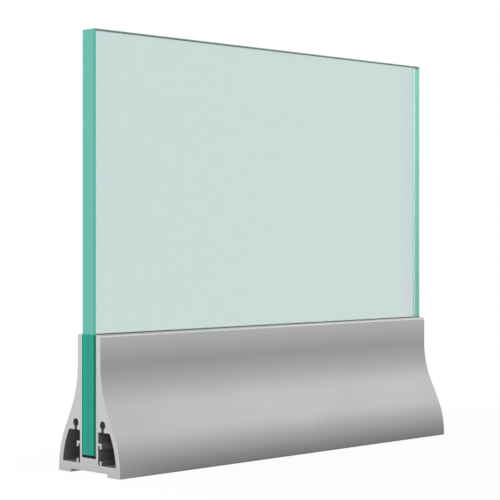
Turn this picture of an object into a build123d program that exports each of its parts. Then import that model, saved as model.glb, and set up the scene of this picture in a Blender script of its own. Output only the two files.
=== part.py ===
from build123d import *

import os
from math import atan2, degrees

os.makedirs("parts", exist_ok=True)

# Frameless glass railing: an aluminium base shoe with a bell-shaped section, and one thick glass
# panel standing in its slot. All sizes are in millimetres.
# X runs across the railing, Y along it and Z up. The origin is on the floor, under the middle of
# the glass and midway along the railing.

# Length of the railing, to which the shoe is sawn and the glass is ground
rail_length = 371.0

# Glass panel
glass_thickness = 15.0
glass_height = 310.0
glass_arris = 0.3  # flat ground at 45 degrees along each long edge

# Rubber between the glass and the metal
strip_thickness = 2.1  # setting strip, which the panel stands on
liner_thickness = 0.4  # side liners, which fill the slot on both sides of the panel
liner_drop = 1.0  # the liners end this far below the mouth of the slot

# Base shoe, outside
base_width = 70.0
base_height = 102.0
foot_edge = 2.2  # upright edge between the floor and the bell's lower curve
foot_radius = 66.0  # lower curve, which bulges
flank_length = 16.7  # straight slope between the two curves
waist_height = 80.0  # above this height the sides are upright
lip_wall = 5.0  # wall beside the mouth of the slot
lip_radius = 2.0
mouth_radius = 0.5
foot_corner = 0.5

# Base shoe, underside
foot_width = 14.3
recess_depth = 2.4  # the middle stands clear of the floor between the two feet
guide_depth = 0.9  # V groove that guides the drill for the floor anchors

# Base shoe, inside
web_thickness = 9.6  # metal under the slot, which the floor anchors clamp
slot_wall = 2.5  # wall between the slot and each chamber
skirt_wall = 4.4  # outer wall of each chamber, parallel to the outside
foot_thickness = 7.6  # metal under each chamber
chamber_height = 24.1
chamber_corner = 1.0

# Screw port above each chamber, which takes a self-tapping screw of an end cap
port_radius = 3.05
port_wall = 4.35  # metal between the slot and the port
port_rise = 5.2  # height of the port's centre over the roof of the chamber
port_neck = 2.8  # width of the gap that joins the port to the chamber

# Splice groove in each chamber, which takes a flat bar joining two lengths of shoe
groove_depth = 1.75
groove_height = 14.2
lip_thickness = 1.95  # the two lips that hold the bar
arm_thickness = 1.9  # arm that carries the upper lip
upper_lip = 2.2  # how far each lip covers the bar
lower_lip = 3.3

# Places that follow from the sizes above
base_half = base_width / 2
slot_half = glass_thickness / 2 + liner_thickness
waist_half = slot_half + lip_wall
slot_floor = recess_depth + web_thickness
glass_bottom = slot_floor + strip_thickness
recess_half = base_half - foot_width
chamber_x = slot_half + slot_wall
chamber_roof = foot_thickness + chamber_height
port_x = slot_half + port_wall + port_radius
port_z = chamber_roof + port_rise
lip_x = chamber_x + groove_depth
groove_top = foot_thickness + groove_height

# The flank and its two curves make a smooth S from the upright foot edge to the upright waist.
# Across and up, the three add up to the run and the rise, which leaves one value for the sum of
# the two radii and one for the angle that each curve turns through.
flare_run = base_half - waist_half
flare_rise = waist_height - foot_edge
radius_sum = (flare_run**2 + flare_rise**2 - flank_length**2) / (2 * flare_run)
waist_radius = radius_sum - foot_radius
flare_angle = degrees(
    atan2(flare_rise, radius_sum - flare_run) - atan2(flank_length, radius_sum)
)

# Right half of the bell before it is hollowed out
with BuildSketch() as bell:
    with BuildLine():
        edge = Line((base_half, 0), (base_half, foot_edge))
        belly = JernArc(edge @ 1, edge % 1, foot_radius, flare_angle)
        flank = Line(belly @ 1, belly @ 1 + (belly % 1) * flank_length)
        waist = JernArc(flank @ 1, flank % 1, waist_radius, -flare_angle)
        Polyline(waist @ 1, (waist_half, base_height), (0, base_height), (0, 0), (base_half, 0))
    make_face()

# Chamber with a roof and a floor, and an outer wall of even thickness
with BuildSketch() as chamber:
    add(bell.sketch)
    offset(amount=-skirt_wall, mode=Mode.REPLACE)
    with Locations((chamber_x, foot_thickness)):
        Rectangle(base_half, chamber_height, align=Align.MIN, mode=Mode.INTERSECT)
    levels = chamber.vertices().group_by(Axis.Y)
    fillet(levels[0] + levels[-1], chamber_corner)

# Base shoe: one extrusion, open at both ends
with BuildPart() as base_profile:
    with BuildSketch(Plane.XZ) as section:
        add(bell.sketch)
        # Slot for the glass
        with Locations((0, slot_floor)):
            Rectangle(slot_half, base_height, align=Align.MIN, mode=Mode.SUBTRACT)
        # Recess between the feet, and the drill guide in its roof
        Rectangle(recess_half, recess_depth, align=Align.MIN, mode=Mode.SUBTRACT)
        with BuildLine():
            Polyline(
                (0, recess_depth),
                (guide_depth, recess_depth),
                (0, recess_depth + guide_depth),
                close=True,
            )
        make_face(mode=Mode.SUBTRACT)
        # Rounded edges of the lip and the foot
        top_corners = section.vertices().group_by(Axis.Y)[-1].sort_by(Axis.X)
        fillet(top_corners[-1], lip_radius)
        fillet(top_corners[0], mouth_radius)
        fillet(section.vertices().group_by(Axis.Y)[0], foot_corner)
        # Hollow chamber and the screw port that opens into its roof
        add(chamber.sketch, mode=Mode.SUBTRACT)
        with Locations((port_x, port_z)):
            Circle(port_radius, mode=Mode.SUBTRACT)
            Rectangle(port_neck, port_rise, align=(Align.CENTER, Align.MAX), mode=Mode.SUBTRACT)
        # Upper hook of the splice groove: an arm from the slot wall, with a lip hanging from it
        with Locations((chamber_x, groove_top)):
            Rectangle(groove_depth + lip_thickness, arm_thickness, align=Align.MIN)
        with Locations((lip_x, groove_top)):
            Rectangle(lip_thickness, upper_lip, align=(Align.MIN, Align.MAX))
        # Lower lip of the splice groove, standing on the chamber's floor
        with Locations((lip_x, foot_thickness)):
            Rectangle(lip_thickness, lower_lip, align=Align.MIN)
        mirror(about=Plane.YZ)
    extrude(amount=rail_length / 2, both=True)
base_profile.part.label = "base_profile"
export_step(base_profile.part, "parts/base_profile.step")

# Glass panel with its long edges arrised
with BuildPart() as glass_panel:
    with BuildSketch(Plane.YZ):
        with Locations((0, glass_bottom)):
            Rectangle(rail_length, glass_height, align=(Align.CENTER, Align.MIN))
    extrude(amount=glass_thickness / 2, both=True)
    chamfer(glass_panel.faces().filter_by(Axis.X).edges(), glass_arris)
glass_panel.part.label = "glass_panel"
export_step(glass_panel.part, "parts/glass_panel.step")

# Setting strip between the slot's floor and the glass, as wide as the glass is thick
with BuildPart() as setting_strip:
    with BuildSketch(Plane.XY.offset(slot_floor)):
        Rectangle(glass_thickness, rail_length)
    extrude(amount=strip_thickness)
setting_strip.part.label = "setting_strip"
export_step(setting_strip.part, "parts/setting_strip.step")

# Liner between the glass and the front wall of the slot, from the glass's foot to below the mouth
with BuildPart() as front_liner:
    with BuildSketch(Plane.YZ.offset(glass_thickness / 2)):
        with Locations((0, glass_bottom)):
            Rectangle(
                rail_length,
                base_height - liner_drop - glass_bottom,
                align=(Align.CENTER, Align.MIN),
            )
    extrude(amount=liner_thickness)
front_liner.part.label = "front_liner"
export_step(front_liner.part, "parts/front_liner.step")

# Liner between the glass and the back wall
with BuildPart() as back_liner:
    mirror(front_liner.part, about=Plane.YZ)
back_liner.part.label = "back_liner"
export_step(back_liner.part, "parts/back_liner.step")
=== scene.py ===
# %% [markdown]
# # A frameless glass railing, dressed in Blender
# The object is a length of glass railing: a bell-shaped aluminium shoe, one thick panel of
# toughened glass standing in its slot, and the rubber that keeps the two apart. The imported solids
# load first, as a frame that never moves. Everything made here takes its size and its place from
# them, in metres.

# %% Load the frame
from math import pi, radians

import bmesh
import bpy
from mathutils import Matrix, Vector


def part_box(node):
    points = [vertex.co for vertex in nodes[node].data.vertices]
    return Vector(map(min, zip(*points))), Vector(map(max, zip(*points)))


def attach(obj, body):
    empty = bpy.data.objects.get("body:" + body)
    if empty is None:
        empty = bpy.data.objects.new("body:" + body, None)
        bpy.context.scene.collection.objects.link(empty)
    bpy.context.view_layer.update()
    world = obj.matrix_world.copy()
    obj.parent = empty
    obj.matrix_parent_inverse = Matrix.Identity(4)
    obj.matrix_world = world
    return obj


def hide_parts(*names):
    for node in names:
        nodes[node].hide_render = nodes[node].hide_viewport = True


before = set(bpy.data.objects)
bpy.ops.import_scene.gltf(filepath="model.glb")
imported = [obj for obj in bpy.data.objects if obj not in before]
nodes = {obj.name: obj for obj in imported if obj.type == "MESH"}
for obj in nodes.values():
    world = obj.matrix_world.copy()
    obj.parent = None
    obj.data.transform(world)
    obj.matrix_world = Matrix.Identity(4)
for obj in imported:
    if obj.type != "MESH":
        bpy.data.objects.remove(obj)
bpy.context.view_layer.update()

MM = 0.001
shoe_low, shoe_high = (Vector(corner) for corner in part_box("base_profile"))
glass_low, glass_high = (Vector(corner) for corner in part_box("glass_panel"))
print("shoe", [round(side / MM, 1) for side in shoe_high - shoe_low], "mm")
print("glass", [round(side / MM, 1) for side in glass_high - glass_low], "mm")

# %% [markdown]
# ## Camera
# The photograph looks at one corner of the railing, level and from 45 degrees, through a long
# lens: the uprights are parallel in it. A camera could be aimed by eye, but here the vanishing
# points of the long edges give its place and its lens, so it is set by numbers. The lens is
# shifted down a little instead of being tilted, which keeps the uprights upright.

# %% Place the camera
CAMERA_BEARING = 45  # degrees from the railing's end view
CAMERA_DEPTH = 1161.8 * MM  # along the view, from the camera to the near end of the shoe
CAMERA_ASIDE = 117.1 * MM  # how far the near end lies to the left of the view's middle
CAMERA_HEIGHT = 172.3 * MM
LENS_MM = 115.02
LENS_SHIFT = -0.0244

near_end = Vector((0, shoe_low.y, 0))
forward = Vector((-1, 1, 0)).normalized()
rightward = Vector((1, 1, 0)).normalized()
camera_data = bpy.data.cameras.new("camera")
camera_data.lens = LENS_MM
camera_data.shift_y = LENS_SHIFT
camera = bpy.data.objects.new("camera", camera_data)
bpy.context.scene.collection.objects.link(camera)
camera.location = near_end - forward * CAMERA_DEPTH + rightward * CAMERA_ASIDE
camera.location.z = CAMERA_HEIGHT
camera.rotation_euler = (radians(90), 0, radians(CAMERA_BEARING))
bpy.context.scene.camera = camera
print("camera at", [round(place, 4) for place in camera.location])

# %% [markdown]
# ## Colours and nodes
# Colours are written as a paint chart gives them, in sRGB hex. The shaders want linear light, so
# one function turns them. Materials could be drawn by hand in the shader editor, but a script can
# be read and run again. So a second function adds a node to a tree, with its settings and links in
# one call, and a third starts a material.


# %% Define the helpers
def linear(hex_colour):
    """An sRGB hex colour as linear red, green, blue and a full alpha."""
    parts = [int(hex_colour[i : i + 2], 16) / 255 for i in (1, 3, 5)]
    return [p / 12.92 if p <= 0.04045 else ((p + 0.055) / 1.055) ** 2.4 for p in parts] + [1.0]


def add_node(tree, kind, inputs=(), **settings):
    """A new node in the tree. Each input is a value, or the socket that it is linked to."""
    node = tree.nodes.new(kind)
    for name, value in settings.items():
        setattr(node, name, value)
    for name, value in dict(inputs).items():
        if isinstance(value, bpy.types.NodeSocket):
            tree.links.new(value, node.inputs[name])
        else:
            node.inputs[name].default_value = value
    return node


def new_material(name):
    """A material, its tree and its Principled shader."""
    material = bpy.data.materials.new(name)
    material.use_nodes = True
    return material, material.node_tree, material.node_tree.nodes["Principled BSDF"]


# The colour sockets of a Mix node that mixes colours
MIX_A, MIX_B, MIX_RESULT = 6, 7, 2
print("mid grey in linear light is", round(linear("#808080")[0], 3))

# %% [markdown]
# ## Studio
# The object stands in a pure white studio. More light could make the ground white, but it would
# bleach the metal too. So the light stays plain, and the white comes from elsewhere: the camera, the
# metal and the glass see the world as white, and so they do the floor, except close to the object.

# %% Define what sees white
WORLD_AMBIENT = 0.8  # strength that lights the object, while the camera sees a strength of 1
FULL_WHITE = {"Is Camera Ray": 1.0, "Is Glossy Ray": 1.0, "Is Transmission Ray": 1.0}
# Close to the object, a few hundredths of the floor itself show, and its shadow with them
SHADE_WHITE = {"Is Camera Ray": 0.96, "Is Glossy Ray": 0.0, "Is Transmission Ray": 0.96}


def add_whiteness(tree, shares):
    """A socket with the share of plain white that the ray in hand sees."""
    path = add_node(tree, "ShaderNodeLightPath")
    whiteness = 0.0
    for ray, share in shares.items():
        seen = add_node(
            tree, "ShaderNodeMath", {0: path.outputs[ray], 1: share}, operation="MULTIPLY"
        )
        most = add_node(
            tree, "ShaderNodeMath", {0: seen.outputs[0], 1: whiteness}, operation="MAXIMUM"
        )
        whiteness = most.outputs[0]
    return whiteness


print("rays that see white:", list(FULL_WHITE))

# %% Build the world
world = bpy.data.worlds.new("studio")
bpy.context.scene.world = world
world.use_nodes = True
tree = world.node_tree
tree.nodes.clear()
strength = add_node(
    tree,
    "ShaderNodeMapRange",
    {"Value": add_whiteness(tree, FULL_WHITE), "To Min": WORLD_AMBIENT, "To Max": 1.0},
)
sky = add_node(
    tree,
    "ShaderNodeBackground",
    {"Color": linear("#FFFFFF"), "Strength": strength.outputs["Result"]},
)
add_node(tree, "ShaderNodeOutputWorld", {"Surface": sky.outputs[0]})
bpy.context.scene.view_settings.view_transform = "Standard"
print("world lights the object at", WORLD_AMBIENT)

# %% [markdown]
# ## Floor
# The floor is a matt pale sheet. Glowing white all over, it would lose the object's soft shadow,
# which falls on the side seen and past the far end. So it glows fully white only beyond a box around
# the shadow. Inside the box the camera still sees a small share of the plain sheet, which holds the
# shadow, and gloss sees nothing but the sheet, which is why the foot of the shoe stays dark.

# %% Find where the floor keeps its shade
SHADE_FROM_END = 80 * MM  # the shade starts this far behind the near end
SHADE_ASIDE = 160 * MM
SHADE_PAST_END = 120 * MM
SHADE_FADE = 150 * MM
SHADE_LOW = Vector((shoe_low.x, shoe_low.y + SHADE_FROM_END, 0))
SHADE_HIGH = Vector((shoe_high.x + SHADE_ASIDE, shoe_high.y + SHADE_PAST_END, 0))

sheet, tree, shader = new_material("matt pale sheet")
shader.inputs["Base Color"].default_value = linear("#A4A4A4")
shader.inputs["Roughness"].default_value = 1.0
shader.inputs["Specular IOR Level"].default_value = 0.0
place = add_node(tree, "ShaderNodeTexCoord")
offset = add_node(
    tree,
    "ShaderNodeVectorMath",
    {0: place.outputs["Object"], 1: (SHADE_LOW + SHADE_HIGH) / 2},
    operation="SUBTRACT",
)
reach = add_node(tree, "ShaderNodeVectorMath", {0: offset.outputs[0]}, operation="ABSOLUTE")
past = add_node(
    tree,
    "ShaderNodeVectorMath",
    {0: reach.outputs[0], 1: (SHADE_HIGH - SHADE_LOW) / 2},
    operation="SUBTRACT",
)
outside = add_node(
    tree, "ShaderNodeVectorMath", {0: past.outputs[0], 1: (0, 0, 0)}, operation="MAXIMUM"
)
distance = add_node(tree, "ShaderNodeVectorMath", {0: outside.outputs[0]}, operation="LENGTH")
beyond = add_node(
    tree,
    "ShaderNodeMapRange",
    {"Value": distance.outputs["Value"], "From Max": SHADE_FADE},
    interpolation_type="SMOOTHSTEP",
)
print("shade is", [round(side, 3) for side in SHADE_HIGH - SHADE_LOW], "m")

# %% Lay the floor
FLOOR_HALF = 40.0  # metres, so far that the camera never sees its edge

whiteness = add_node(
    tree,
    "ShaderNodeMix",
    {
        0: beyond.outputs["Result"],
        2: add_whiteness(tree, SHADE_WHITE),
        3: add_whiteness(tree, FULL_WHITE),
    },
)
white = add_node(tree, "ShaderNodeEmission", {"Color": linear("#FFFFFF")})
surface = add_node(
    tree,
    "ShaderNodeMixShader",
    {0: whiteness.outputs[0], 1: shader.outputs[0], 2: white.outputs[0]},
)
tree.links.new(surface.outputs[0], tree.nodes["Material Output"].inputs["Surface"])
floor_mesh = bpy.data.meshes.new("floor")
corners = [(x * FLOOR_HALF, y * FLOOR_HALF, 0) for x, y in ((-1, -1), (1, -1), (1, 1), (-1, 1))]
floor_mesh.from_pydata(corners, [], [(0, 1, 2, 3)])
floor_mesh.materials.append(sheet)
floor = bpy.data.objects.new("floor", floor_mesh)
bpy.context.scene.collection.objects.link(floor)
print("floor is", 2 * FLOOR_HALF, "m wide")

# %% [markdown]
# ## Lamps
# In the photograph the sawn end is bright, and the shoe's side is lightest on its slope and dark
# towards the floor. Small lamps would draw hard streaks along an extrusion, so these are soft
# squares: a large one at the left for the end, a large one high up past the far end for the slope,
# and a small one close to the side.

# %% Hang the lamps
LAMP_AIM = Vector((0, 0, 60 * MM))  # the middle of the shoe
# Each lamp's name, level, side and place, in metres. The side seen looks along +X
LAMPS = (
    ("end_lamp", 0.25, 0.8, (-0.5, -1.5, 0.6)),
    ("slope_lamp", 0.14, 0.8, (0.85, 1.2, 0.95)),
    ("near_lamp", 0.04, 0.4, (0.6, 0.1, 0.6)),
)


def add_softbox(name, level, side, place):
    """A square lamp. A level of 1 lights a white surface that faces it to full white."""
    lamp = bpy.data.lights.new(name, "AREA")
    lamp.size = side
    away = Vector(place) - LAMP_AIM
    lamp.energy = level * (pi * away.length) ** 2
    softbox = bpy.data.objects.new(name, lamp)
    bpy.context.scene.collection.objects.link(softbox)
    softbox.location = place
    softbox.rotation_euler = away.to_track_quat("Z", "Y").to_euler()
    print(name, "is", round(away.length, 2), "m away")


for lamp_facts in LAMPS:
    add_softbox(*lamp_facts)

# %% [markdown]
# ## Satin anodised aluminium
# The shoe is extruded, then etched and anodised, and sawn to length last. So its long faces are a
# soft even grey with faint lines drawn by the die along the length, and its ends are bare bright
# metal with the arcs that the saw leaves. Its lips, and the upper part of its upright sides, are
# painted
# lighter: a painted highlight for the light that falls on them from above, fading downwards. These
# could be three materials, but one piece of metal carries them all, so one material does: the way
# that a face looks, and its height, say which finish it has. To the eye it is metal without a mirror
# in it: the roughness, near a half, blurs every reflection into one broad sheen.

# %% Draw the marks of the die, the etch and the saw
DIE_LINE = 0.9 * MM  # drawn coarser: the real lines are about 0.2 mm apart
ETCH_GRAIN = 0.25 * MM  # drawn coarser: the real grain is under 0.05 mm
SAW_MARK = 3 * MM  # from one arc to the next
BLADE_ASIDE = 180 * MM  # the blade's centre lies this far aside, and half as far down
HAND_MARK = 60 * MM  # patches that hands and wrapping leave
DIE_ALONG = 0.004  # a die line is 250 times as long as it is wide

anodised, tree, shader = new_material("satin anodised aluminium")
place = add_node(tree, "ShaderNodeTexCoord")
drawn = add_node(
    tree, "ShaderNodeMapping", {"Vector": place.outputs["Object"], "Scale": (1, DIE_ALONG, 1)}
)
die_lines = add_node(
    tree,
    "ShaderNodeTexNoise",
    {"Vector": drawn.outputs[0], "Scale": 1 / DIE_LINE, "Detail": 3.0, "Roughness": 0.6},
)
etching = add_node(
    tree,
    "ShaderNodeTexNoise",
    {"Vector": place.outputs["Object"], "Scale": 1 / ETCH_GRAIN, "Detail": 2.0},
)
handling = add_node(
    tree,
    "ShaderNodeTexNoise",
    {"Vector": place.outputs["Object"], "Scale": 1 / HAND_MARK, "Detail": 4.0},
)
blade = add_node(
    tree,
    "ShaderNodeMapping",
    {"Vector": place.outputs["Object"], "Location": (BLADE_ASIDE, 0, BLADE_ASIDE / 2)},
)
# A Wave texture at a scale of 1 has 20 radians to the metre
saw_arcs = add_node(
    tree,
    "ShaderNodeTexWave",
    {
        "Vector": blade.outputs[0],
        "Scale": 2 * pi / 20 / SAW_MARK,
        "Distortion": 0.6,
        "Detail": 2.0,
        "Detail Scale": 4.0,
    },
    wave_type="RINGS",
    rings_direction="Y",
)
print("die lines", DIE_LINE / MM, "mm wide, saw arcs every", SAW_MARK / MM, "mm")

# %% Tell the sawn ends and the painted highlight on the lips from the rest
LIP_HIGHLIGHT_DEPTH = 2.3 * MM  # how far down from the top the painted highlight on the lip reaches
LIP_HIGHLIGHT_FULL = 0.7  # share of that which gets the full painted highlight
SIDE_HIGHLIGHT_DEPTH = 21 * MM  # how far down the upright sides get a painted highlight, less and less
SIDE_HIGHLIGHT_MOST = 0.75  # share of the highlight colour that they reach, just under the lip
SAWN_FROM, SAWN_FULL = 0.85, 0.97  # how squarely a face must look along the rail

facing = add_node(tree, "ShaderNodeSeparateXYZ", {0: place.outputs["Normal"]})
facing_end = add_node(tree, "ShaderNodeMath", {0: facing.outputs["Y"]}, operation="ABSOLUTE")
sawn = add_node(
    tree,
    "ShaderNodeMapRange",
    {"Value": facing_end.outputs[0], "From Min": SAWN_FROM, "From Max": SAWN_FULL},
)
point = add_node(tree, "ShaderNodeSeparateXYZ", {0: place.outputs["Object"]})
# Painted highlight: a lighter colour on the lip, fading down the upper sides, for light from above
highlighted = add_node(
    tree,
    "ShaderNodeMapRange",
    {
        "Value": point.outputs["Z"],
        "From Min": shoe_high.z - LIP_HIGHLIGHT_DEPTH,
        "From Max": shoe_high.z - LIP_HIGHLIGHT_FULL * LIP_HIGHLIGHT_DEPTH,
    },
)
side_highlight = add_node(
    tree,
    "ShaderNodeMapRange",
    {
        "Value": point.outputs["Z"],
        "From Min": shoe_high.z - SIDE_HIGHLIGHT_DEPTH,
        "From Max": shoe_high.z - LIP_HIGHLIGHT_DEPTH,
        "To Max": SIDE_HIGHLIGHT_MOST,
    },
)
painted_highlight = add_node(
    tree,
    "ShaderNodeMath",
    {0: highlighted.outputs["Result"], 1: side_highlight.outputs["Result"]},
    operation="MAXIMUM",
)
print("lips are rubbed above", round((shoe_high.z - LIP_HIGHLIGHT_DEPTH) / MM, 1), "mm")

# %% Colour the metal
long_colour = add_node(
    tree,
    "ShaderNodeMix",
    {0: die_lines.outputs["Fac"], MIX_A: linear("#9FA0A1"), MIX_B: linear("#A5A5A6")},
    data_type="RGBA",
)
# The painted highlight colour, lighter than the long faces
highlight_colour = add_node(
    tree,
    "ShaderNodeMix",
    {
        0: painted_highlight.outputs[0],
        MIX_A: long_colour.outputs[MIX_RESULT],
        MIX_B: linear("#B8B9B9"),
    },
    data_type="RGBA",
)
end_colour = add_node(
    tree,
    "ShaderNodeMix",
    {0: saw_arcs.outputs["Fac"], MIX_A: linear("#BCBDBE"), MIX_B: linear("#C0C1C1")},
    data_type="RGBA",
)
metal_colour = add_node(
    tree,
    "ShaderNodeMix",
    {
        0: sawn.outputs["Result"],
        MIX_A: highlight_colour.outputs[MIX_RESULT],
        MIX_B: end_colour.outputs[MIX_RESULT],
    },
    data_type="RGBA",
)
tree.links.new(metal_colour.outputs[MIX_RESULT], shader.inputs["Base Color"])
print(anodised.name, "has", len(tree.nodes), "nodes so far")

# %% [markdown]
# The marks are far too shallow for the mesh, so they are drawn in the shading: hands leave patches
# of a little more or less gloss, the saw's arcs change the sheen of the ends, and two bumps, one in
# the other, tilt the light as the lines and the etch do.

# %% Give the metal its sheen and its relief
LINE_DEPTH = 0.02 * MM
ETCH_DEPTH = 0.01 * MM

long_roughness = add_node(
    tree,
    "ShaderNodeMapRange",
    {"Value": handling.outputs["Fac"], "To Min": 0.46, "To Max": 0.54},
)
end_roughness = add_node(
    tree,
    "ShaderNodeMapRange",
    {"Value": saw_arcs.outputs["Fac"], "To Min": 0.47, "To Max": 0.53},
)
roughness = add_node(
    tree,
    "ShaderNodeMix",
    {0: sawn.outputs["Result"], 2: long_roughness.outputs[0], 3: end_roughness.outputs[0]},
)
height = add_node(
    tree,
    "ShaderNodeMix",
    {0: sawn.outputs["Result"], 2: die_lines.outputs["Fac"], 3: saw_arcs.outputs["Fac"]},
)
lines_bump = add_node(
    tree,
    "ShaderNodeBump",
    {"Height": height.outputs[0], "Strength": 0.12, "Distance": LINE_DEPTH},
)
bump = add_node(
    tree,
    "ShaderNodeBump",
    {
        "Height": etching.outputs["Fac"],
        "Strength": 0.15,
        "Distance": ETCH_DEPTH,
        "Normal": lines_bump.outputs[0],
    },
)
shader.inputs["Metallic"].default_value = 1.0
tree.links.new(roughness.outputs[0], shader.inputs["Roughness"])
tree.links.new(bump.outputs[0], shader.inputs["Normal"])
print(anodised.name, "has", len(tree.nodes), "nodes")

# %% [markdown]
# ## Mill finish
# Inside the chambers the metal is as it left the die: duller, rougher and streaked along the length.
# The anodised finish could serve here too, but it hands the light on down the chamber, and the
# mouth turns black. A rough and partly oxidised face throws light back to where it came from, so the
# eye sees dark grey walls there.

# %% Make the mill finish
STREAK = 0.5 * MM  # about as wide as the real ones, which the die drags
STREAK_ALONG = 0.02  # a streak is fifty times as long as it is wide
STREAK_DEPTH = 0.03 * MM

mill, tree, shader = new_material("mill finish aluminium")
place = add_node(tree, "ShaderNodeTexCoord")
drawn = add_node(
    tree, "ShaderNodeMapping", {"Vector": place.outputs["Object"], "Scale": (1, STREAK_ALONG, 1)}
)
streaks = add_node(
    tree,
    "ShaderNodeTexNoise",
    {"Vector": drawn.outputs[0], "Scale": 1 / STREAK, "Detail": 4.0, "Roughness": 0.7},
)
mill_colour = add_node(
    tree,
    "ShaderNodeMix",
    {0: streaks.outputs["Fac"], MIX_A: linear("#7E7E7E"), MIX_B: linear("#9C9C9C")},
    data_type="RGBA",
)
mill_roughness = add_node(
    tree, "ShaderNodeMapRange", {"Value": streaks.outputs["Fac"], "To Min": 0.75, "To Max": 0.95}
)
bump = add_node(
    tree,
    "ShaderNodeBump",
    {"Height": streaks.outputs["Fac"], "Strength": 0.3, "Distance": STREAK_DEPTH},
)
shader.inputs["Metallic"].default_value = 0.6  # the rest is grey oxide
tree.links.new(mill_colour.outputs[MIX_RESULT], shader.inputs["Base Color"])
tree.links.new(mill_roughness.outputs[0], shader.inputs["Roughness"])
tree.links.new(bump.outputs[0], shader.inputs["Normal"])
print(mill.name, "has", len(tree.nodes), "nodes")

# %% [markdown]
# ## Base shoe
# The real shoe is one extrusion: metal pushed through a die, so that every slice across it is the
# same. It could be modelled by hand or copied whole from the solid, but the honest way is the
# factory's: take one slice, the section, and push it along the length. The section is the near
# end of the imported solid, whose triangles are merged into whole faces.

# %% Take the section
MERGE = 0.002 * MM  # points closer than this are one
FLAT = radians(0.2)  # faces that turn by less than this are one
NEAR_END = -0.99  # the near end looks along -Y


def merged_copy(node_name):
    """A CAD node's mesh as a bmesh, with its loose triangles merged into whole faces."""
    form = bmesh.new()
    form.from_mesh(nodes[node_name].data)
    bmesh.ops.remove_doubles(form, verts=form.verts, dist=MERGE)
    bmesh.ops.dissolve_limit(form, angle_limit=FLAT, verts=form.verts, edges=form.edges)
    return form


form = merged_copy("base_profile")
past_end = [face for face in form.faces if face.normal.y > NEAR_END]
bmesh.ops.delete(form, geom=past_end, context="FACES")
section_mesh = bpy.data.meshes.new("bell_section")
form.to_mesh(section_mesh)
section_mesh.materials.append(anodised)
print("bell section has", len(form.verts), "points")
form.free()


# %% [markdown]
# A Geometry Nodes tree is the press. It turns the section round, extrudes it, and joins the result
# to the section itself, which closes the near end. Faces are smooth, and so are the edges that turn
# by less than Crease, since those only approximate the bell's curves. Its inputs are named for what
# a maker would order: another Length is another cut of the saw.


# %% Build the extrusion tree
def new_geometry_tree(name, sockets):
    """A Geometry Nodes tree with its named inputs, and its group input node."""
    tree = bpy.data.node_groups.new(name, "GeometryNodeTree")
    for label, kind in sockets.items():
        tree.interface.new_socket(label, in_out="INPUT", socket_type=kind)
    tree.interface.new_socket("Result", in_out="OUTPUT", socket_type="NodeSocketGeometry")
    return tree, add_node(tree, "NodeGroupInput")


extrusion, given = new_geometry_tree(
    "extrude a section",
    {
        "Section": "NodeSocketGeometry",
        "Length": "NodeSocketFloat",
        "Crease": "NodeSocketFloat",
        "Finish": "NodeSocketMaterial",
    },
)
# The section looks along -Y and closes the near end. Turned round, it is pushed to the far end
turned = add_node(extrusion, "GeometryNodeFlipFaces", {"Mesh": given.outputs["Section"]})
push = add_node(extrusion, "ShaderNodeCombineXYZ", {"Y": given.outputs["Length"]})
pushed = add_node(
    extrusion,
    "GeometryNodeExtrudeMesh",
    {"Mesh": turned.outputs[0], "Offset": push.outputs[0], "Individual": False},
    mode="FACES",
)
both = add_node(extrusion, "GeometryNodeJoinGeometry", {0: pushed.outputs["Mesh"]})
extrusion.links.new(given.outputs["Section"], both.inputs[0])
welded = add_node(
    extrusion, "GeometryNodeMergeByDistance", {"Geometry": both.outputs[0], "Distance": MERGE}
)
smooth = add_node(
    extrusion, "GeometryNodeSetShadeSmooth", {"Geometry": welded.outputs[0]}, domain="FACE"
)
fold = add_node(extrusion, "GeometryNodeInputMeshEdgeAngle")
shallow = add_node(
    extrusion,
    "FunctionNodeCompare",
    {0: fold.outputs["Unsigned Angle"], 1: given.outputs["Crease"]},
    operation="LESS_THAN",
)
rounded = add_node(
    extrusion,
    "GeometryNodeSetShadeSmooth",
    {"Geometry": smooth.outputs[0], "Shade Smooth": shallow.outputs[0]},
    domain="EDGE",
)
real = add_node(extrusion, "GeometryNodeRealizeInstances", {0: rounded.outputs[0]})
coated = add_node(
    extrusion,
    "GeometryNodeSetMaterial",
    {"Geometry": real.outputs[0], "Material": given.outputs["Finish"]},
)
add_node(extrusion, "NodeGroupOutput", {0: coated.outputs[0]})
print("extrusion tree has", len(extrusion.nodes), "nodes")


# %% [markdown]
# The tree could stay on the shoe as a live modifier, but the finished piece has to be a plain mesh
# with its place in it. So the result is taken once, and the modifier comes off again.


# %% Push the shoe through
def bake(piece, tree, values):
    """Run the tree on the piece with these inputs, and keep the result as a plain mesh."""
    modifier = piece.modifiers.new(tree.name, "NODES")
    modifier.node_group = tree
    for socket in tree.interface.items_tree:
        if socket.name in values:
            modifier[socket.identifier] = values[socket.name]
    evaluated = piece.evaluated_get(bpy.context.evaluated_depsgraph_get())
    mesh = bpy.data.meshes.new_from_object(evaluated)
    piece.modifiers.remove(modifier)
    piece.data = mesh
    print(piece.name, "has", len(mesh.polygons), "faces")


CREASE = radians(30)  # edges that turn by more stay sharp

shoe = bpy.data.objects.new("bell_shoe", section_mesh)
bpy.context.scene.collection.objects.link(shoe)
rail_length = shoe_high.y - shoe_low.y
bake(shoe, extrusion, {"Length": rail_length, "Crease": CREASE, "Finish": anodised})

# %% [markdown]
# The walls of the hollow chambers and screw ports keep the die's finish, since the etch and the
# anodising hardly reach inside. They get the mill finish, shared out by where each face lies: at the
# chambers' height, beyond the slot, and either near the slot or looking back towards it.

# %% Give the chambers their mill finish
CHAMBERS = (7.4 * MM, 40.1 * MM)  # just past the lowest and the highest point inside
SLOT_SIDE = 10.2 * MM  # just inside the wall between the slot and a chamber
INNER_SIDE = 19 * MM  # nearer than the shoe's outside comes at that height
LEVEL_FACE = 0.001  # a floor or a roof looks across by no more than this
END_FACE = 0.5  # a sawn end looks along by more than this

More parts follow.
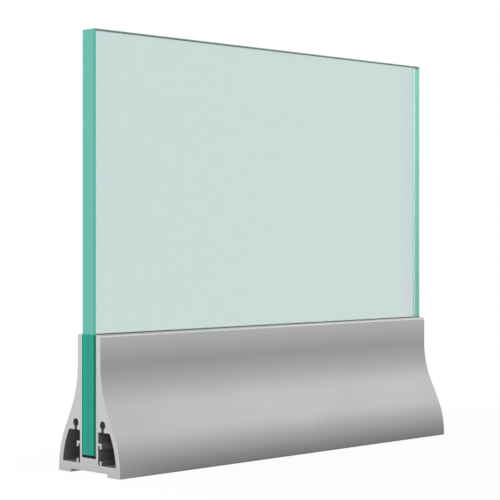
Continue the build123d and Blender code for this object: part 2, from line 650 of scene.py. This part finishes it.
shoe.data.materials.append(mill)
inside = 0
for face in shoe.data.polygons:
    x, _, z = face.center
    looks_in = face.normal.x * x < 0 or abs(face.normal.x) < LEVEL_FACE
    in_reach = CHAMBERS[0] < z < CHAMBERS[1] and abs(x) > SLOT_SIDE
    if in_reach and abs(face.normal.y) < END_FACE and (abs(x) < INNER_SIDE or looks_in):
        face.material_index = 1
        inside += 1
print("faces with the mill finish:", inside)

# %% [markdown]
# A sawn or extruded edge is never perfectly sharp, and the thin bright line along each edge is what
# tells the eye that it is metal. Each edge could be cut in the solid, but a Bevel modifier finds
# them all: it breaks every edge that turns by more than Crease.

# %% Break the shoe's edges
EDGE_BREAK = 0.2 * MM  # as a file or a tumble leaves it

bevel = shoe.modifiers.new("edge break", "BEVEL")
bevel.width = EDGE_BREAK
bevel.segments = 2
bevel.limit_method = "ANGLE"
bevel.angle_limit = CREASE
bevel.harden_normals = True
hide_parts("base_profile")
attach(shoe, "root")
print("edges broken by", EDGE_BREAK / MM, "mm")

# %% [markdown]
# ## Clear glass and its ground edges
# Thick float glass is nearly clear through its faces and deep green through its edges, because
# light crosses the sheet once but runs through the whole panel to reach an edge. A volume that
# absorbs light would show this, but needs far more light bounces than a render has. So the two
# faces are smooth glass with a pale tint and the faint haze that wiping leaves, and the ground
# and polished edges carry the green themselves.

# %% Make the clear glass
GLASS_IOR = 1.52
WIPE_MARK = 45 * MM  # width of the marks that a wiping cloth leaves
MOST_HAZE = 0.012  # so faint that it blurs nothing close behind

clear_glass, tree, shader = new_material("clear toughened glass")
shader.inputs["Base Color"].default_value = linear("#C9D8D6")
shader.inputs["Transmission Weight"].default_value = 1.0
shader.inputs["IOR"].default_value = GLASS_IOR
place = add_node(tree, "ShaderNodeTexCoord")
film = add_node(
    tree,
    "ShaderNodeTexNoise",
    {"Vector": place.outputs["Object"], "Scale": 1 / WIPE_MARK, "Detail": 5.0},
)
haze = add_node(
    tree,
    "ShaderNodeMapRange",
    {"Value": film.outputs["Fac"], "From Min": 0.4, "To Min": 0.0, "To Max": MOST_HAZE},
)
tree.links.new(haze.outputs[0], shader.inputs["Roughness"])
print(clear_glass.name, "has", len(tree.nodes), "nodes")

# %% [markdown]
# The edges are coloured by what the light does in them, as painted light and shade. Inside the
# shoe, which keeps the daylight out, they get a painted shade of deep green, with a greyer stripe
# that is a painted reflection of the slot's wall, and above it they are painted paler, as lit. Each
# end has a darker band at its right, a painted shade for light that was reflected once more. The
# real paths take dozens of bounces inside the sheet, so all this is drawn where it falls.
#
# Seen from within, through the clear face, an edge reflects all of the light past the critical
# angle, which is where Fresnel comes near to 1. There the ends turn to a tinted mirror, and the top
# edge, as in the photograph, to a thin dark line.

# %% Find the ends, their bands and the daylight
BAND_START = 5.2 * MM  # from the middle of the thickness
BAND_FADE = 0.3 * MM
STRIPE_MIDDLE = -0.6 * MM  # the painted reflection of the slot's wall, a greyer stripe, lies a little left of the middle
STRIPE_HALF = 2.7 * MM
STRIPE_FADE = 0.6 * MM
DAYLIGHT_FADE = 0.4 * MM  # the painted shade turns to painted light this close to the top of the shoe
SQUARE_ON = 0.9  # how squarely an end looks along the rail

ground_edge, tree, shader = new_material("ground and polished glass edge")
place = add_node(tree, "ShaderNodeTexCoord")
point = add_node(tree, "ShaderNodeSeparateXYZ", {0: place.outputs["Object"]})
# Across times along, which has the same sign at the right of both ends, seen from outside
crosswise = add_node(
    tree,
    "ShaderNodeMath",
    {0: point.outputs["X"], 1: point.outputs["Y"]},
    operation="MULTIPLY",
)
# The darker band at the right of each end, a painted shade
in_shade_band = add_node(
    tree,
    "ShaderNodeMapRange",
    {
        "Value": crosswise.outputs[0],
        "From Min": glass_low.y * (BAND_START - BAND_FADE),
        "From Max": glass_low.y * (BAND_START + BAND_FADE),
    },
)
# The greyer stripe inside the shoe, a painted reflection of the slot's wall
from_stripe = add_node(
    tree,
    "ShaderNodeMath",
    {0: crosswise.outputs[0], 1: glass_low.y * STRIPE_MIDDLE},
    operation="SUBTRACT",
)
apart = add_node(tree, "ShaderNodeMath", {0: from_stripe.outputs[0]}, operation="ABSOLUTE")
in_wall_reflection = add_node(
    tree,
    "ShaderNodeMapRange",
    {
        "Value": apart.outputs[0],
        "From Min": glass_high.y * (STRIPE_HALF + STRIPE_FADE),
        "From Max": glass_high.y * (STRIPE_HALF - STRIPE_FADE),
    },
)
facing = add_node(tree, "ShaderNodeSeparateXYZ", {0: place.outputs["Normal"]})
facing_end = add_node(tree, "ShaderNodeMath", {0: facing.outputs["Y"]}, operation="ABSOLUTE")
on_end = add_node(
    tree, "ShaderNodeMath", {0: facing_end.outputs[0], 1: SQUARE_ON}, operation="GREATER_THAN"
)
painted_band = add_node(
    tree,
    "ShaderNodeMath",
    {0: in_shade_band.outputs[0], 1: on_end.outputs[0]},
    operation="MULTIPLY",
)
# Painted light above the top of the shoe, painted shade below it
in_daylight = add_node(
    tree,
    "ShaderNodeMapRange",
    {
        "Value": point.outputs["Z"],
        "From Min": shoe_high.z - DAYLIGHT_FADE,
        "From Max": shoe_high.z + DAYLIGHT_FADE,
    },
)
print("daylight starts at", round(shoe_high.z / MM, 1), "mm")

# %% Colour the edges
# Painted shade inside the shoe: deep green, with the painted reflection of the wall as a greyer
# stripe
wall_reflection = add_node(
    tree,
    "ShaderNodeMix",
    {0: in_wall_reflection.outputs[0], MIX_A: linear("#00BC94"), MIX_B: linear("#30A696")},
    data_type="RGBA",
)
shaded = add_node(
    tree,
    "ShaderNodeMix",
    {0: painted_band.outputs[0], MIX_A: wall_reflection.outputs[MIX_RESULT], MIX_B: linear("#0E6C58")},
    data_type="RGBA",
)
# Painted light above the shoe: a paler green, with its own darker band
lit = add_node(
    tree,
    "ShaderNodeMix",
    {0: painted_band.outputs[0], MIX_A: linear("#74D0BF"), MIX_B: linear("#56C8A6")},
    data_type="RGBA",
)
edge_colour = add_node(
    tree,
    "ShaderNodeMix",
    {
        0: in_daylight.outputs[0],
        MIX_A: shaded.outputs[MIX_RESULT],
        MIX_B: lit.outputs[MIX_RESULT],
    },
    data_type="RGBA",
)
print(ground_edge.name, "has", len(tree.nodes), "nodes so far")

# %% Reflect the trapped light
TRAPPED_FROM = 0.95  # share that Fresnel reflects, past which all of the light stays inside
PALE_FROM, PALE_FULL = 2.0 * MM, 4.5 * MM  # right of the middle the mirror's painted tint pales

fresnel = add_node(tree, "ShaderNodeFresnel", {"IOR": GLASS_IOR})
trapped = add_node(
    tree, "ShaderNodeMath", {0: fresnel.outputs[0], 1: TRAPPED_FROM}, operation="GREATER_THAN"
)
mirroring = add_node(
    tree,
    "ShaderNodeMath",
    {0: trapped.outputs[0], 1: on_end.outputs[0]},
    operation="MULTIPLY",
)
paler_reflection = add_node(
    tree,
    "ShaderNodeMapRange",
    {
        "Value": crosswise.outputs[0],
        "From Min": glass_low.y * PALE_FROM,
        "From Max": glass_low.y * PALE_FULL,
    },
)
# Painted reflection: the ends' mirror gets a pale green tint, painted lighter to near white right of
# the middle
end_mirror = add_node(
    tree,
    "ShaderNodeMix",
    {0: paler_reflection.outputs["Result"], MIX_A: linear("#87DAC6"), MIX_B: linear("#F0FFFF")},
    data_type="RGBA",
)
# Painted shade: the top edge seen from within is painted a thin dark green line
trapped_colour = add_node(
    tree,
    "ShaderNodeMix",
    {0: on_end.outputs[0], MIX_A: linear("#004A34"), MIX_B: end_mirror.outputs[MIX_RESULT]},
    data_type="RGBA",
)
glass_colour = add_node(
    tree,
    "ShaderNodeMix",
    {
        0: trapped.outputs[0],
        MIX_A: edge_colour.outputs[MIX_RESULT],
        MIX_B: trapped_colour.outputs[MIX_RESULT],
    },
    data_type="RGBA",
)
tree.links.new(glass_colour.outputs[MIX_RESULT], shader.inputs["Base Color"])
tree.links.new(mirroring.outputs[0], shader.inputs["Metallic"])
print("light is trapped where Fresnel passes", TRAPPED_FROM)

# %% Grind and polish the edges
GRINDING_LINE = 0.6 * MM  # drawn coarser: the real wheel leaves lines under 0.1 mm apart
GRINDING_ALONG = 0.02  # a line is fifty times as long as it is wide
GRINDING_DEPTH = 0.02 * MM

along = add_node(
    tree,
    "ShaderNodeMapping",
    {"Vector": place.outputs["Object"], "Scale": (1, GRINDING_ALONG, GRINDING_ALONG)},
)
grinding = add_node(
    tree,
    "ShaderNodeTexNoise",
    {"Vector": along.outputs[0], "Scale": 1 / GRINDING_LINE, "Detail": 3.0},
)
polish = add_node(
    tree,
    "ShaderNodeMapRange",
    {"Value": grinding.outputs["Fac"], "To Min": 0.22, "To Max": 0.4},
)
bump = add_node(
    tree,
    "ShaderNodeBump",
    {"Height": grinding.outputs["Fac"], "Strength": 0.2, "Distance": GRINDING_DEPTH},
)
shader.inputs["IOR"].default_value = GLASS_IOR
shader.inputs["Specular IOR Level"].default_value = 0.12  # a ground edge glints little
shader.inputs["Transmission Weight"].default_value = 0.1  # and a little light comes through
tree.links.new(polish.outputs[0], shader.inputs["Roughness"])
tree.links.new(bump.outputs[0], shader.inputs["Normal"])
print(ground_edge.name, "has", len(tree.nodes), "nodes")

# %% [markdown]
# ## Glass panel
# The panel is one sheet with a narrow arris ground along each long edge. The solid has that shape
# already. What it lacks is a second finish: its two large faces are polished float glass and
# everything else is ground. So a merged copy gets two materials, shared out by which way each
# face looks.

# %% Make the panel
FACE_ON = 0.9  # how squarely a large face looks across the rail

form = merged_copy("glass_panel")
panel_mesh = bpy.data.meshes.new("toughened_panel")
for face in form.faces:
    face.smooth = False
    face.material_index = 0 if abs(face.normal.x) > FACE_ON else 1
panel_mesh.materials.append(clear_glass)
panel_mesh.materials.append(ground_edge)
form.to_mesh(panel_mesh)
print("panel has", len(form.faces), "faces")
form.free()
panel = bpy.data.objects.new("toughened_panel", panel_mesh)
bpy.context.scene.collection.objects.link(panel)
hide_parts("glass_panel")
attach(panel, "root")

# %% [markdown]
# ## Black rubber
# The strip under the glass and the liners beside it are extruded rubber: matt, nearly black, with
# faint lines along their length and a little pale dust. Their solids have the right shape already,
# so they stay as packed and only get the material. To the eye they are dark lines that part the
# glass from the metal.

# %% Make the rubber
RIB = 0.5 * MM
RIB_ALONG = 0.02  # a line is fifty times as long as it is wide
RIB_DEPTH = 0.03 * MM
DUST_PATCH = 3 * MM

rubber, tree, shader = new_material("extruded black rubber")
place = add_node(tree, "ShaderNodeTexCoord")
drawn = add_node(
    tree, "ShaderNodeMapping", {"Vector": place.outputs["Object"], "Scale": (1, RIB_ALONG, 1)}
)
ribs = add_node(
    tree, "ShaderNodeTexNoise", {"Vector": drawn.outputs[0], "Scale": 1 / RIB, "Detail": 2.0}
)
dust = add_node(
    tree,
    "ShaderNodeTexNoise",
    {"Vector": place.outputs["Object"], "Scale": 1 / DUST_PATCH, "Detail": 6.0, "Roughness": 0.7},
)
dusty = add_node(
    tree,
    "ShaderNodeMapRange",
    {"Value": dust.outputs["Fac"], "From Min": 0.55, "From Max": 0.8, "To Max": 0.4},
)
rubber_colour = add_node(
    tree,
    "ShaderNodeMix",
    {0: dusty.outputs[0], MIX_A: linear("#0E1110"), MIX_B: linear("#2C302F")},
    data_type="RGBA",
)
bump = add_node(
    tree, "ShaderNodeBump", {"Height": ribs.outputs["Fac"], "Strength": 0.3, "Distance": RIB_DEPTH}
)
shader.inputs["Roughness"].default_value = 0.75
shader.inputs["Specular IOR Level"].default_value = 0.2
tree.links.new(rubber_colour.outputs[MIX_RESULT], shader.inputs["Base Color"])
tree.links.new(bump.outputs[0], shader.inputs["Normal"])
for name in ("setting_strip", "front_liner", "back_liner"):
    for held in nodes[name].material_slots:
        held.material = rubber
    print(name, "is", rubber.name)
